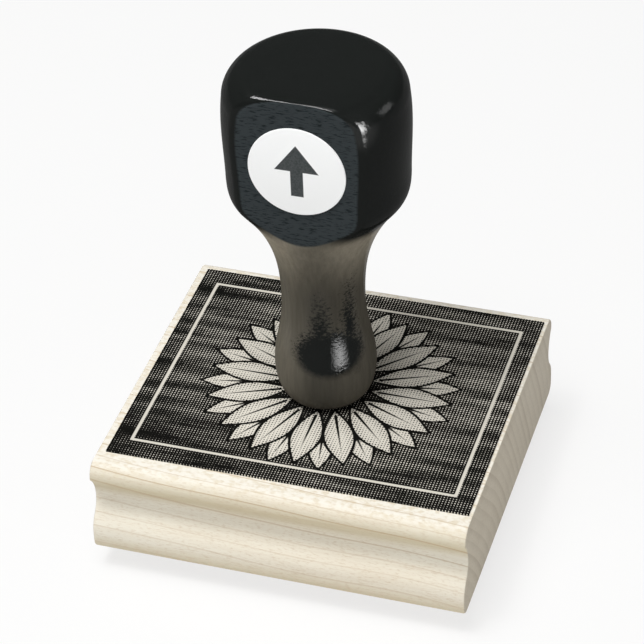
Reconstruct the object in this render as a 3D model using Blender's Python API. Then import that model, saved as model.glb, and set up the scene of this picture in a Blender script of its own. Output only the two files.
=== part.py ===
"""Wood-handled rubber stamp: a moulded maple block, a turned handle, a printed sheet and a rubber die.

Metres, +Z up, the printing face on z = 0 and the front of the stamp towards -Y.
"""

import math

import bmesh
import bpy
from mathutils import Matrix, Vector
from mathutils.geometry import interpolate_bezier

MM = 0.001

# Block: moulded maple stock sawn to length, the same moulding on its front and back
BLOCK_WIDTH = 71.0 * MM
BLOCK_DEPTH = 67.8 * MM
BLOCK_HEIGHT = 19.0 * MM
NOSE_RADIUS = 2.6 * MM
NOSE_LAND = 0.6 * MM
COVE_DEPTH = 2.0 * MM
COVE_DROP = 4.8 * MM
OGEE_DROP = 7.0 * MM
LOWER_BEAD_STEP = 0.9 * MM
FOOT_ROUND = 2.0 * MM

# Handle: turned hardwood, heights measured from its seat
HANDLE_HEIGHT = 70.9 * MM
SEAT_RADIUS = 6.5 * MM
FOOT_RADIUS = 9.5 * MM
FOOT_HEIGHT = 6.9 * MM
WAIST_RADIUS = 7.7 * MM
WAIST_HEIGHT = 22.0 * MM
NECK_RADIUS = 12.3 * MM
NECK_HEIGHT = 40.4 * MM
NECK_SLOPE = math.radians(31.0)
NECK_PULL = 6.8 * MM
HEAD_RADIUS = 16.5 * MM
BARREL_HEIGHT = 50.2 * MM
SHOULDER_RADIUS = 5.6 * MM
CROWN_RADIUS = 212.0 * MM
FLAT_OFFSET = 11.8 * MM

# How far the turned curves run on straight, as a share of the height to the next form
FOOT_EASE = 1 / 3
WAIST_EASE_BELOW = 1 / 2
WAIST_EASE_ABOVE = 0.4
BARREL_EASE = 0.62

# Round mark stuck to the handle's flat, its centre below the top, to show which side faces the user
MARK_DIAMETER = 17.7 * MM
MARK_THICKNESS = 0.3 * MM
MARK_DROP = 14.3 * MM

# Countersunk wood screw, driven up through the block into the handle
SCREW_LENGTH = 38.0 * MM
SCREW_SHANK_RADIUS = 2.1 * MM
SCREW_HEAD_RADIUS = 4.0 * MM
SCREW_HEAD_RIM = 0.4 * MM
SCREW_TIP_LENGTH = 4.0 * MM
SCREW_HEAD_RECESS = 0.4 * MM
DRIVE_RECESS_SPAN = 4.4 * MM
DRIVE_RECESS_SLOT = 1.1 * MM
DRIVE_RECESS_DEPTH = 1.6 * MM
BORE_SPARE_DEPTH = 2.0 * MM
DRILL_POINT_ANGLE = math.radians(118.0)

# Printed sheet on the block's top
LABEL_WIDTH = 68.6 * MM
LABEL_DEPTH = 57.8 * MM
LABEL_THICKNESS = 0.3 * MM

# Rubber die and the foam under it, trimmed to one outline
DIE_WIDTH = 66.0 * MM
DIE_DEPTH = 53.6 * MM
DIE_CORNER_RADIUS = 2.0 * MM
DIE_THICKNESS = 2.3 * MM
RELIEF_DEPTH = 0.9 * MM
FOAM_THICKNESS = 1.6 * MM

# Sunk design of the die: a ring of petals inside a plain border line
PETAL_COUNT = 16
PETAL_ROOT_RADIUS = 8.0 * MM
PETAL_TIP_RADIUS = 23.0 * MM
PETAL_WIDTH = 5.2 * MM
BORDER_INSET = 1.8 * MM
BORDER_WIDTH = 0.8 * MM

# Clearances: between pieces that touch, and round the screw
SEAT_GAP = 0.3 * MM
SCREW_CLEARANCE = 0.3 * MM
CUT_MARGIN = 2.0 * MM

# Counts of segments on round stretches
TURN_SEGMENTS = 48
SCREW_SEGMENTS = 24
MARK_SEGMENTS = 48
ARC_STEPS = 6
CURVE_STEPS = 8
CROWN_STEPS = 2
PETAL_STEPS = 7

# Corners closer than this are one corner, and edges sharper than this stay crisp
WELD_DISTANCE = 0.001 * MM
SHARP_ANGLE = math.radians(30.0)

# Plain look of each material: linear red, green and blue, roughness and metallic
MATERIALS = {
    "red_rubber": ((0.32, 0.06, 0.05), 0.75, 0.0),
    "grey_foam": ((0.55, 0.55, 0.53), 0.95, 0.0),
    "maple": ((0.76, 0.68, 0.53), 0.5, 0.0),
    "zinc_steel": ((0.60, 0.60, 0.58), 0.35, 1.0),
    "printed_paper": ((0.06, 0.055, 0.05), 0.6, 0.0),
    "black_lacquer": ((0.012, 0.013, 0.013), 0.12, 0.0),
    "white_vinyl": ((0.9, 0.92, 0.93), 0.4, 0.0),
}

# Levels of the stack, from the printing face up
FOAM_BASE = DIE_THICKNESS + SEAT_GAP
BLOCK_BASE = FOAM_BASE + FOAM_THICKNESS + SEAT_GAP
LABEL_BASE = BLOCK_BASE + BLOCK_HEIGHT + SEAT_GAP
HANDLE_BASE = LABEL_BASE + LABEL_THICKNESS + SEAT_GAP
SCREW_BASE = BLOCK_BASE + SCREW_HEAD_RECESS
HOLE_RADIUS = SCREW_SHANK_RADIUS + SCREW_CLEARANCE
SCREW_HEAD_HEIGHT = SCREW_HEAD_RIM + SCREW_HEAD_RADIUS - SCREW_SHANK_RADIUS


def clear_scene():
    """Remove every object of the open scene."""
    for obj in list(bpy.data.objects):
        bpy.data.objects.remove(obj, do_unlink=True)


def make_material(name):
    """A Principled material with its plain look."""
    colour, roughness, metallic = MATERIALS[name]
    material = bpy.data.materials.new(name)
    material.use_nodes = True
    shader = material.node_tree.nodes["Principled BSDF"]
    shader.inputs["Base Color"].default_value = (*colour, 1.0)
    shader.inputs["Roughness"].default_value = roughness
    shader.inputs["Metallic"].default_value = metallic
    return material


def make_object(name, bm, material=None, location=(0.0, 0.0, 0.0), parent=None):
    """Turn a bmesh into a named object whose faces point out, smooth up to the sharp angle."""
    bmesh.ops.recalc_face_normals(bm, faces=bm.faces)
    mesh = bpy.data.meshes.new(name)
    bm.to_mesh(mesh)
    bm.free()
    mesh.shade_smooth()
    mesh.set_sharp_from_angle(angle=SHARP_ANGLE)
    obj = bpy.data.objects.new(name, mesh)
    bpy.context.scene.collection.objects.link(obj)
    obj.location = location
    obj.parent = parent
    if material:
        mesh.materials.append(material)
    return obj


def cut(target, name, bm):
    """Cut a bmesh, given in the target's own frame, out of the target with a live Boolean."""
    cutter = make_object(name, bm, parent=target)
    cutter.hide_render = True
    cutter.display_type = "WIRE"
    modifier = target.modifiers.new(name, "BOOLEAN")
    modifier.operation = "DIFFERENCE"
    modifier.object = cutter


def arc(centre, radius, start, end, steps=ARC_STEPS):
    """Points of a circular arc in a plane, with angles in radians and both ends included."""
    points = []
    for index in range(steps + 1):
        angle = start + (end - start) * index / steps
        points.append((centre[0] + radius * math.cos(angle), centre[1] + radius * math.sin(angle)))
    return points


def bezier(start, start_handle, end_handle, end, steps=CURVE_STEPS):
    """Points of a cubic curve in a plane, without its first point."""
    knots = [Vector((*point, 0.0)) for point in (start, start_handle, end_handle, end)]
    return [(point.x, point.y) for point in interpolate_bezier(*knots, steps + 1)[1:]]


def prism(outline, low, high):
    """A closed prism on an outline of (x, y) points, from height low to high."""
    bm = bmesh.new()
    face = bm.faces.new([bm.verts.new((x, y, low)) for x, y in outline])
    raised = bmesh.ops.extrude_face_region(bm, geom=[face])["geom"]
    top = [item for item in raised if isinstance(item, bmesh.types.BMVert)]
    bmesh.ops.translate(bm, verts=top, vec=(0.0, 0.0, high - low))
    return bm


def turned(profile, segments):
    """A closed solid of revolution about Z, on a profile of (radius, height) points from axis to axis."""
    bm = bmesh.new()
    verts = [bm.verts.new((radius, 0.0, height)) for radius, height in profile]
    edges = [bm.edges.new(pair) for pair in zip(verts, verts[1:])]
    bmesh.ops.spin(
        bm, geom=verts + edges, cent=(0.0, 0.0, 0.0), axis=(0.0, 0.0, 1.0),
        angle=math.tau, steps=segments, use_merge=True,
    )
    bmesh.ops.remove_doubles(bm, verts=bm.verts, dist=WELD_DISTANCE)
    return bm


def rounded_rectangle(width, depth, radius):
    """Outline of a rectangle with round corners, centred on the origin."""
    outline = []
    for quarter, (side, end) in enumerate(((1, 1), (-1, 1), (-1, -1), (1, -1))):
        centre = (side * (width / 2 - radius), end * (depth / 2 - radius))
        start = quarter * math.pi / 2
        outline += arc(centre, radius, start, start + math.pi / 2)
    return outline


def moulding():
    """Back half of the block's section as (depth, height) points, from the top flat to the bottom flat.

    A round nose with a short land, a crisp step into a cove, an ogee out to the lower bead, a round foot.
    """
    face = BLOCK_DEPTH / 2 - LOWER_BEAD_STEP
    points = arc((face - NOSE_RADIUS, BLOCK_HEIGHT - NOSE_RADIUS), NOSE_RADIUS, math.pi / 2, 0.0)
    brow = BLOCK_HEIGHT - NOSE_RADIUS - NOSE_LAND
    hollow = brow - COVE_DROP
    cove_radius = (COVE_DEPTH**2 + COVE_DROP**2) / (2 * COVE_DEPTH)
    cove_turn = math.asin(COVE_DROP / cove_radius)
    cove_centre = (face - COVE_DEPTH + cove_radius, hollow)
    points += arc(cove_centre, cove_radius, math.pi - cove_turn, math.pi)
    swell = COVE_DEPTH + LOWER_BEAD_STEP
    ogee_radius = (swell**2 + OGEE_DROP**2) / (4 * swell)
    ogee_turn = math.asin(OGEE_DROP / 2 / ogee_radius)
    upper_centre = (face - COVE_DEPTH + ogee_radius, hollow)
    lower_centre = (BLOCK_DEPTH / 2 - ogee_radius, hollow - OGEE_DROP)
    points += arc(upper_centre, ogee_radius, math.pi, math.pi + ogee_turn)[1:]
    points += arc(lower_centre, ogee_radius, ogee_turn, 0.0)[1:]
    points += arc((BLOCK_DEPTH / 2 - FOOT_ROUND, FOOT_ROUND), FOOT_ROUND, 0.0, -math.pi / 2)
    return points


def make_block(parent, material):
    """Moulded block: its section run along X, with a countersunk hole for the screw."""
    half = moulding()
    section = half + [(-depth, height) for depth, height in reversed(half)]
    bm = prism(section, -BLOCK_WIDTH / 2, BLOCK_WIDTH / 2)
    bm.transform(Matrix(((0, 0, 1, 0), (1, 0, 0, 0), (0, 1, 0, 0), (0, 0, 0, 1))))
    block = make_object("wood_block", bm, material, (0.0, 0.0, BLOCK_BASE), parent)
    mouth = SCREW_HEAD_RADIUS + SCREW_CLEARANCE
    hole = [
        (0.0, -CUT_MARGIN),
        (mouth, -CUT_MARGIN),
        (mouth, SCREW_HEAD_RECESS + SCREW_HEAD_RIM),
        (HOLE_RADIUS, SCREW_HEAD_RECESS + SCREW_HEAD_HEIGHT),
        (HOLE_RADIUS, BLOCK_HEIGHT + CUT_MARGIN),
        (0.0, BLOCK_HEIGHT + CUT_MARGIN),
    ]
    cut(block, "screw_hole", turned(hole, SCREW_SEGMENTS))
    return block


def handle_bore():
    """Pilot bore in the handle's seat, from its drill point on the axis down to the seat's rim."""
    passed = HANDLE_BASE - SCREW_BASE
    depth = SCREW_LENGTH - passed + BORE_SPARE_DEPTH
    point = HOLE_RADIUS / math.tan(DRILL_POINT_ANGLE / 2)
    return [(0.0, depth + point), (HOLE_RADIUS, depth), (HOLE_RADIUS, 0.0)]


def handle_profile():
    """Turned outline of the handle from the seat to the crown, as (radius, height) points."""
    swell = FOOT_RADIUS - SEAT_RADIUS
    points = []
    for across, up in arc((0.0, 0.0), 1.0, -math.pi / 2, 0.0, CURVE_STEPS):
        points.append((SEAT_RADIUS + swell * across, FOOT_HEIGHT * (1 + up)))
    fall = WAIST_HEIGHT - FOOT_HEIGHT
    foot = (FOOT_RADIUS, FOOT_HEIGHT)
    waist = (WAIST_RADIUS, WAIST_HEIGHT)
    below = (FOOT_RADIUS, FOOT_HEIGHT + FOOT_EASE * fall)
    points += bezier(foot, below, (WAIST_RADIUS, WAIST_HEIGHT - WAIST_EASE_BELOW * fall), waist)
    neck = Vector((NECK_RADIUS, NECK_HEIGHT))
    pull = NECK_PULL * Vector((math.sin(NECK_SLOPE), math.cos(NECK_SLOPE)))
    rise = NECK_HEIGHT - WAIST_HEIGHT
    points += bezier(waist, (WAIST_RADIUS, WAIST_HEIGHT + WAIST_EASE_ABOVE * rise), neck - pull, neck)
    barrel = (HEAD_RADIUS, BARREL_HEIGHT)
    lift = BARREL_HEIGHT - NECK_HEIGHT
    points += bezier(neck, neck + pull, (HEAD_RADIUS, BARREL_HEIGHT - BARREL_EASE * lift), barrel)
    reach = HEAD_RADIUS - SHOULDER_RADIUS
    crown_centre = HANDLE_HEIGHT - CROWN_RADIUS
    shoulder = crown_centre + math.sqrt((CROWN_RADIUS - SHOULDER_RADIUS) ** 2 - reach**2)
    meet = math.atan2(shoulder - crown_centre, reach)
    points += arc((reach, shoulder), SHOULDER_RADIUS, 0.0, meet)
    points += arc((0.0, crown_centre), CROWN_RADIUS, meet, math.pi / 2, CROWN_STEPS)[1:]
    return points


def make_handle(parent, material):
    """Turned handle with a flat milled on the front of its head and a pilot bore in its seat."""
    profile = handle_bore() + handle_profile()
    handle = make_object("handle", turned(profile, TURN_SEGMENTS), material, (0.0, 0.0, HANDLE_BASE), parent)
    side = HEAD_RADIUS + CUT_MARGIN
    waste = [(-side, -side), (side, -side), (side, -FLAT_OFFSET), (-side, -FLAT_OFFSET)]
    cut(handle, "front_flat", prism(waste, WAIST_HEIGHT, HANDLE_HEIGHT + CUT_MARGIN))
    return handle


def make_mark(parent, material):
    """Thin round mark standing against the handle's flat."""
    bm = bmesh.new()
    bmesh.ops.create_cone(
        bm, cap_ends=True, segments=MARK_SEGMENTS, radius1=MARK_DIAMETER / 2, radius2=MARK_DIAMETER / 2,
        depth=MARK_THICKNESS, matrix=Matrix.Rotation(math.pi / 2, 4, "X"),
    )
    front = -(FLAT_OFFSET + SEAT_GAP + MARK_THICKNESS / 2)
    height = HANDLE_BASE + HANDLE_HEIGHT - MARK_DROP
    return make_object("front_mark", bm, material, (0.0, front, height), parent)


def make_screw(parent, material):
    """Countersunk screw, head down, with a cross recess in its head."""
    profile = [
        (0.0, 0.0),
        (SCREW_HEAD_RADIUS, 0.0),
        (SCREW_HEAD_RADIUS, SCREW_HEAD_RIM),
        (SCREW_SHANK_RADIUS, SCREW_HEAD_HEIGHT),
        (SCREW_SHANK_RADIUS, SCREW_LENGTH - SCREW_TIP_LENGTH),
        (0.0, SCREW_LENGTH),
    ]
    bm = turned(profile, SCREW_SEGMENTS)
    screw = make_object("handle_screw", bm, material, (0.0, 0.0, SCREW_BASE), parent)
    arm = DRIVE_RECESS_SPAN / 2
    slot = DRIVE_RECESS_SLOT / 2
    cross = []
    for quarter in range(4):
        turn = Matrix.Rotation(quarter * math.pi / 2, 2)
        cross += [tuple(turn @ Vector(corner)) for corner in ((slot, slot), (slot, arm), (-slot, arm))]
    cut(screw, "drive_recess", prism(cross, -CUT_MARGIN, DRIVE_RECESS_DEPTH))
    return screw


def make_label(parent, material):
    """Printed sheet on the block's top, with a hole that the screw passes through."""
    corner = Vector((LABEL_WIDTH / 2, LABEL_DEPTH / 2))
    outline = [(corner.x, corner.y), (-corner.x, corner.y), (-corner.x, -corner.y), (corner.x, -corner.y)]
    bm = prism(outline, 0.0, LABEL_THICKNESS)
    label = make_object("index_label", bm, material, (0.0, 0.0, LABEL_BASE), parent)
    hole = arc((0.0, 0.0), HOLE_RADIUS, 0.0, math.tau, SCREW_SEGMENTS)[:-1]
    cut(label, "label_hole", prism(hole, -CUT_MARGIN, LABEL_THICKNESS + CUT_MARGIN))
    return label


def make_foam(parent, material):
    """Mounting foam between the block and the die, trimmed flush with the die."""
    bm = prism(rounded_rectangle(DIE_WIDTH, DIE_DEPTH, DIE_CORNER_RADIUS), 0.0, FOAM_THICKNESS)
    return make_object("mounting_foam", bm, material, (0.0, 0.0, FOAM_BASE), parent)


def petal():
    """Outline of one petal along +X, a lens whose half width is a sine of the way from root to tip."""
    length = PETAL_TIP_RADIUS - PETAL_ROOT_RADIUS
    edge = []
    for index in range(1, PETAL_STEPS):
        way = index / PETAL_STEPS
        edge.append((PETAL_ROOT_RADIUS + length * way, PETAL_WIDTH / 2 * math.sin(math.pi * way)))
    lower = [(along, -across) for along, across in edge]
    return [(PETAL_ROOT_RADIUS, 0.0)] + lower + [(PETAL_TIP_RADIUS, 0.0)] + edge[::-1]


def border_line():
    """Square ring of the die's border, as a bmesh that reaches from below the face to the relief's floor."""
    bm = bmesh.new()
    loops = []
    corners = ((1, 1), (-1, 1), (-1, -1), (1, -1))
    for inset in (BORDER_INSET, BORDER_INSET + BORDER_WIDTH):
        x = DIE_WIDTH / 2 - inset
        y = DIE_DEPTH / 2 - inset
        for height in (-CUT_MARGIN, RELIEF_DEPTH):
            loops.append([bm.verts.new((side * x, end * y, height)) for side, end in corners])
    outer_low, outer_high, inner_low, inner_high = loops
    for first, second in ((outer_low, outer_high), (outer_high, inner_high),
                          (inner_high, inner_low), (inner_low, outer_low)):
        for index in range(4):
            after = (index + 1) % 4
            bm.faces.new((first[index], first[after], second[after], second[index]))
    return bm


def make_die(parent, material):
    """Rubber die, printing face down, with its petals and border line sunk below that face."""
    bm = prism(rounded_rectangle(DIE_WIDTH, DIE_DEPTH, DIE_CORNER_RADIUS), 0.0, DIE_THICKNESS)
    die = make_object("rubber_die", bm, material, parent=parent)
    petals = bmesh.new()
    for index in range(PETAL_COUNT):
        turn = Matrix.Rotation(math.tau * index / PETAL_COUNT, 2)
        outline = [tuple(turn @ Vector(point)) for point in petal()]
        single = prism(outline, -CUT_MARGIN, RELIEF_DEPTH)
        mesh = bpy.data.meshes.new("petal")
        single.to_mesh(mesh)
        single.free()
        petals.from_mesh(mesh)
        bpy.data.meshes.remove(mesh)
    cut(die, "petal_recesses", petals)
    cut(die, "border_recess", border_line())
    return die


def main():
    """Build the stamp from the die up."""
    clear_scene()
    stamp = bpy.data.objects.new("rubber_stamp", None)
    bpy.context.scene.collection.objects.link(stamp)
    make_die(stamp, make_material("red_rubber"))
    make_foam(stamp, make_material("grey_foam"))
    make_block(stamp, make_material("maple"))
    make_screw(stamp, make_material("zinc_steel"))
    make_label(stamp, make_material("printed_paper"))
    make_handle(stamp, make_material("black_lacquer"))
    make_mark(stamp, make_material("white_vinyl"))


if __name__ == "__main__":
    main()
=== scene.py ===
"""Looks of a wood-handled rubber stamp, laid out as a Blender add-on and run as a script."""

import math
from functools import partial

import bmesh
import bpy
import numpy as np
from bpy.props import FloatProperty, FloatVectorProperty, IntProperty, PointerProperty
from bpy.types import Operator, Panel, PropertyGroup
from mathutils import Euler, Matrix, Vector


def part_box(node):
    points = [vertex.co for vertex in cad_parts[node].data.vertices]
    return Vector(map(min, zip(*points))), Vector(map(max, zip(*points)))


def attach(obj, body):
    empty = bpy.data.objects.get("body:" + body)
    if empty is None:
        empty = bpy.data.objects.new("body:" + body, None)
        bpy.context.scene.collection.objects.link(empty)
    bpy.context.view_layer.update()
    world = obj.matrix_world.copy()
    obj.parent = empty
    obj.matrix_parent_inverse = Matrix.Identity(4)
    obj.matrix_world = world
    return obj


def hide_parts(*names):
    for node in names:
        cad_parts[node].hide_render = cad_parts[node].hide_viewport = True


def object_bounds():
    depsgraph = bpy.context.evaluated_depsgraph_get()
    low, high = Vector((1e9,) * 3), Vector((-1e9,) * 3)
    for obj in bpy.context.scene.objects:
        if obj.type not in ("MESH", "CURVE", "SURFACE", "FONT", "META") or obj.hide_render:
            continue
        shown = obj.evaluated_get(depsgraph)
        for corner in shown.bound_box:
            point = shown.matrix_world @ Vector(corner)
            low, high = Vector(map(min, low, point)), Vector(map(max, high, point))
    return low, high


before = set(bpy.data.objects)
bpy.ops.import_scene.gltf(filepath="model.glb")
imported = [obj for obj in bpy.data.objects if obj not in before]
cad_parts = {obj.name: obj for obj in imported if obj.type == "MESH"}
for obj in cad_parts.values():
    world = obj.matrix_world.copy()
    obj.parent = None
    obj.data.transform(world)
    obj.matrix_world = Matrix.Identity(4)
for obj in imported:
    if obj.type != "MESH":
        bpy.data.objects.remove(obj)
CAD_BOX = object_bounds()

bl_info = {
    "name": "Rubber stamp looks",
    "version": (1, 0, 0),
    "blender": (4, 5, 0),
    "location": "3D View > Sidebar > Stamp",
    "description": "Dresses the packed solids of a wood-handled rubber stamp",
    "category": "Object",
}

MM = 0.001

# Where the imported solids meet, in metres
BLOCK_LOW, BLOCK_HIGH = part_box("wood_block")
SHEET_LOW, SHEET_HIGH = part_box("index_label")
HANDLE_LOW, HANDLE_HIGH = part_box("handle")
MARK_LOW, MARK_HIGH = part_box("front_mark")
_, FOAM_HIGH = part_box("mounting_foam")
DIE_LOW, DIE_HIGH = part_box("rubber_die")

# The photograph's viewpoint: turned right of the front, raised, and rolled a little
CAMERA_AZIMUTH = math.radians(18.43)
CAMERA_ELEVATION = math.radians(37.57)
CAMERA_ROLL = math.radians(-2.27)
CAMERA_DISTANCE = 503.0 * MM
CAMERA_AIM = Vector((-0.5, 0.0, 39.4)) * MM
CAMERA_LENS = 152.4
CAMERA_SENSOR = 36.0

# Foot's bare black patch, kept out of the painted reflection: ellipses as degrees round from the front,
# then height over the seat, half width round the foot and half height in millimetres, and how firmly the
# ellipse keeps it out
FOOT_RADIUS = 9.0
BLACK_PATCH = ((24.0, 14.0, 7.6, 4.9, 1.0), (13.0, 17.5, 2.0, 6.5, 0.3), (54.0, 18.5, 1.8, 8.0, 0.3))
SPECK_REACH = -0.3

# Lacquer's painted reflection: heights over the seat, in millimetres, between which the bare black patch
# frays, the painted reflection grows paler and the head's plain gloss takes over
FRAY_LOW, FRAY_HIGH = 11.0, 16.0
PALE_LOW, PALE_HIGH = 25.0, 39.0
REFLECTION_END, GLOSS_START = 40.0, 44.0

# Corner of the flat that the thumb polished, in millimetres
POLISHED_CORNER = (11.0, -11.0, 90.5)

# Maple: the pith from the block's middle, how far and how steeply the grain wanders, and the nose's height,
# in millimetres
PITH_OFFSET = Vector((0.0, -105.0, -59.0))
GRAIN_WANDER = (0.0, 4.0, 4.0)
GRAIN_TILT = math.radians(-4.0)
NOSE_HEIGHT = 3.2

# Noises of maple (fibre, cloud, stipple, ray, vessel) and lacquer (grain, chips, veins, rings, peel): waves
# per millimetre along X, Y and Z, then detail and roughness
MAPLE_NOISES = (
    ((0.07, 2.2, 2.2), 4.0, 0.6),
    ((0.03, 0.11, 0.11), 2.0, 0.5),
    ((1.1, 4.2, 4.2), 2.0, 0.5),
    ((0.75, 1.1, 1.1), 2.0, 0.5),
    ((0.4, 2.6, 2.6), 2.0, 0.5),
)
LACQUER_NOISES = (
    ((0.6, 1.0, 3.4), 3.0, 0.6),
    ((1.5, 1.5, 2.4), 4.0, 0.7),
    ((1.1, 1.1, 0.07), 4.0, 0.65),
    ((0.12, 0.12, 1.7), 2.0, 0.5),
    ((1.8, 1.8, 2.2), 2.0, 0.5),
)

# Arrow on the mark, in millimetres about the mark's centre: half width, foot and top of the shaft, then the
# head's half width at the centre, how fast it narrows upwards and how high its base lies
SHAFT_HALF, SHAFT_FOOT, SHAFT_TOP = 1.15, 5.0, 1.5
HEAD_HALF, HEAD_SLOPE, HEAD_BASE = 4.1, 0.75, 0.1

# Turn of the halftone's dot screen, and how bright the zinc's dark clouds are
SCREEN_ANGLE = math.radians(45.0)
ZINC_SHADE = 0.78

# Radii round the axis that hold only the screw's hole, in the handle and in the block
PILOT_ZONE = 5.0 * MM
CLEARANCE_ZONE = 6.0 * MM

# How far below mid height the handle's flat can reach, and the least cosine from the front that it uses
FLAT_REACH = 10.0 * MM
LEAST_FACING = 0.05

# Share of the mark's thickness that its rim is rolled by, and width of the engraving's slope in millimetres
RIM_ROLL = 0.6
RELIEF_SLOPE = 0.45

# Stage: half the floor's width in metres, how far the floor is lifted to white, and the world's light
FLOOR_REACH = 3.0
FLOOR_LIFT = 0.75
WORLD_STRENGTH = 0.2
WHITE = (1.0, 1.0, 1.0, 1.0)

# Setting that holds the mode of each kind of shader node
MODE_OF = {
    "Math": "operation", "VectorMath": "operation", "MapRange": "interpolation_type", "Mix": "data_type",
}

# Fineness of the meshes
TURN_STEPS = 288
NECK_STEP = 0.7 * MM
HEAD_STEP = 0.28 * MM
SHEET_STEP = 0.25 * MM
DIE_STEP = 0.23 * MM
EASE_STEPS = 5
CORNER_STEPS = 12
WELD = 0.001 * MM
TOUCH = 0.02 * MM
SHARP_ANGLE = math.radians(32.0)


def linear(code):
    """Linear red, green and blue of an sRGB hex colour, and full alpha."""
    values = np.array([int(code[start : start + 2], 16) for start in (1, 3, 5)]) / 255
    curved = ((values + 0.055) / 1.055) ** 2.4
    return (*(float(value) for value in np.where(values <= 0.04045, values / 12.92, curved)), 1.0)


def length_property(name, description, default, least=0.0):
    """A length property, with its default and least value in millimetres."""
    return FloatProperty(
        name=name, description=description, default=default * MM, min=least * MM,
        subtype="DISTANCE", unit="LENGTH",
    )


class StampSizes(PropertyGroup):
    """Lengths of the stamp's finer shapes and patterns."""

    edge_roll: length_property("Edge roll", "Reach of the rolled edge round the handle's flat", 1.1, 0.1)
    flat_proud: length_property("Flat proud", "How far the flat stands out towards the mark", 0.18)
    end_ease: length_property("End ease", "Radius sanded on the edges of the block's sawn ends", 0.3, 0.05)
    growth_spacing: length_property("Growth spacing", "Distance between two growth lines", 2.3, 0.5)
    mark_thickness: length_property("Mark thickness", "Thickness of the vinyl mark", 0.25, 0.05)
    sheet_shift: FloatVectorProperty(
        name="Sheet shift", description="How far right and back of centre the sheet is glued",
        default=(0.45 * MM, 0.85 * MM), size=2, subtype="TRANSLATION", unit="LENGTH",
    )
    dot_pitch: length_property("Dot pitch", "Distance between two dots of the halftone", 0.56, 0.2)
    petal_root: length_property("Petal root", "Radius at which the front petals start", 8.0, 1.0)
    petal_tip: length_property("Petal tip", "Radius at which the front petals end", 23.0, 2.0)
    petal_width: length_property("Petal width", "Widest part of a front petal", 5.2, 0.5)
    petal_count: IntProperty(
        name="Petal count", description="Petals in each ring", default=16, min=3, max=60,
    )
    relief_depth: length_property("Relief depth", "Depth of the sunk design in the rubber", 0.9, 0.1)
    foam_bulge: length_property("Foam bulge", "How far the foam's cut sides swell out", 0.18)


def colour_property(name, description, code):
    """A colour property whose default is an sRGB hex colour."""
    return FloatVectorProperty(
        name=name, description=description, default=linear(code), min=0.0, max=1.0, size=4, subtype="COLOR",
    )


class StampColours(PropertyGroup):
    """Colours of the stamp's materials."""

    maple: colour_property("Maple", "Sanded face of the block", "#eee8d9")
    growth: colour_property("Growth line", "Late wood in the maple's growth lines", "#c1a988")
    fleck: colour_property("Ray fleck", "Short ray flecks of the maple", "#dccfb2")
    # Painted shade: a warmer, darker wood colour standing in for the shade under the nose and along the
    # bottom edge
    burnish: colour_property("Burnish", "Warmer wood that the cutter burnished under the nose", "#d1c6aa")
    # Painted sheen: a paler colour standing in for the shimmer of light on the block's top
    painted_sheen: colour_property("Dapple", "Pale shimmer between the ray flecks", "#f5f2e9")
    end_grain: colour_property("End grain", "Sawn ends of the block", "#cac1b0")
    end_line: colour_property("End grain line", "Growth lines on the sawn ends", "#a99d8b")
    lacquer: colour_property("Lacquer", "Gloss black of the turned handle", "#151716")
    # Painted reflection: a warm taupe standing in for the pale block and sheet mirrored in the glossy neck
    # and foot
    painted_reflection: colour_property("Rubbed lacquer", "Warm satin where hands rub the neck and foot", "#9d9585")
    flat: colour_property("Milled flat", "Duller slate black of the milled flat", "#34393b")
    pore: colour_property("Pore", "Open pores that show in the lacquered flat", "#1b1f21")
    vinyl: colour_property("Vinyl", "White of the front mark", "#feffff")
    arrow: colour_property("Arrow", "Slate of the arrow on the mark", "#2f3536")
    paper: colour_property("Paper", "Bare paper of the printed sheet", "#dcd7cb")
    ink: colour_property("Ink", "Black of the printed sheet", "#151513")
    foam: colour_property("Foam", "Grey of the mounting foam", "#b4b3ae")
    foam_cell: colour_property("Foam cell", "Shade in the foam's cut cells", "#8f8e89")
    rubber: colour_property("Rubber", "Red of the engraved die", "#9c3d33")
    rubber_dust: colour_property("Rubber dust", "Pale bloom on the rubber", "#b8655a")
    zinc: colour_property("Zinc", "Plated steel of the screw", "#c6c9c6")
    floor: colour_property("Floor", "Plain floor under the stamp", "#ececeb")


def node_points(name):
    """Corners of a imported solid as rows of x, y, z."""
    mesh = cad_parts[name].data
    flat = np.empty(len(mesh.vertices) * 3, dtype=np.float32)
    mesh.vertices.foreach_get("co", flat)
    return flat.reshape(-1, 3).astype(float)


def grid_mesh(name, patches):
    """Mesh of grids of points with a quad in each cell.

    Each patch is an array of rows by columns by three, and cell (i, j) has the corners
    (i, j), (i + 1, j), (i + 1, j + 1) and (i, j + 1).
    """
    corners = []
    quads = []
    first = 0
    for patch in patches:
        rows, columns = patch.shape[:2]
        index = np.arange(rows * columns).reshape(rows, columns) + first
        cells = (index[:-1, :-1], index[1:, :-1], index[1:, 1:], index[:-1, 1:])
        quads.append(np.stack(cells, axis=-1).reshape(-1, 4))
        corners.append(patch.reshape(-1, 3))
        first += rows * columns
    mesh = bpy.data.meshes.new(name)
    mesh.from_pydata(np.concatenate(corners), [], np.concatenate(quads))
    return mesh


def welded_mesh(name, patches):
    """Closed mesh of grids of points, welded at their edges, with open ends filled."""
    mesh = grid_mesh(name, patches)
    bm = bmesh.new()
    bm.from_mesh(mesh)
    bmesh.ops.remove_doubles(bm, verts=bm.verts, dist=WELD)
    open_edges = [edge for edge in bm.edges if edge.is_boundary]
    bmesh.ops.holes_fill(bm, edges=open_edges, sides=0)
    bmesh.ops.recalc_face_normals(bm, faces=bm.faces)
    bm.to_mesh(mesh)
    bm.free()
    return mesh


def make_piece(name, patches, material, node):
    """Object at the origin made of welded grids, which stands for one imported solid."""
    piece = bpy.data.objects.new(name, welded_mesh(name, patches))
    bpy.context.scene.collection.objects.link(piece)
    piece.data.materials.append(material)
    piece.data.shade_smooth()
    piece.data.set_sharp_from_angle(angle=SHARP_ANGLE)
    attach(piece, "root")
    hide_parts(node)
    return piece


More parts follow.
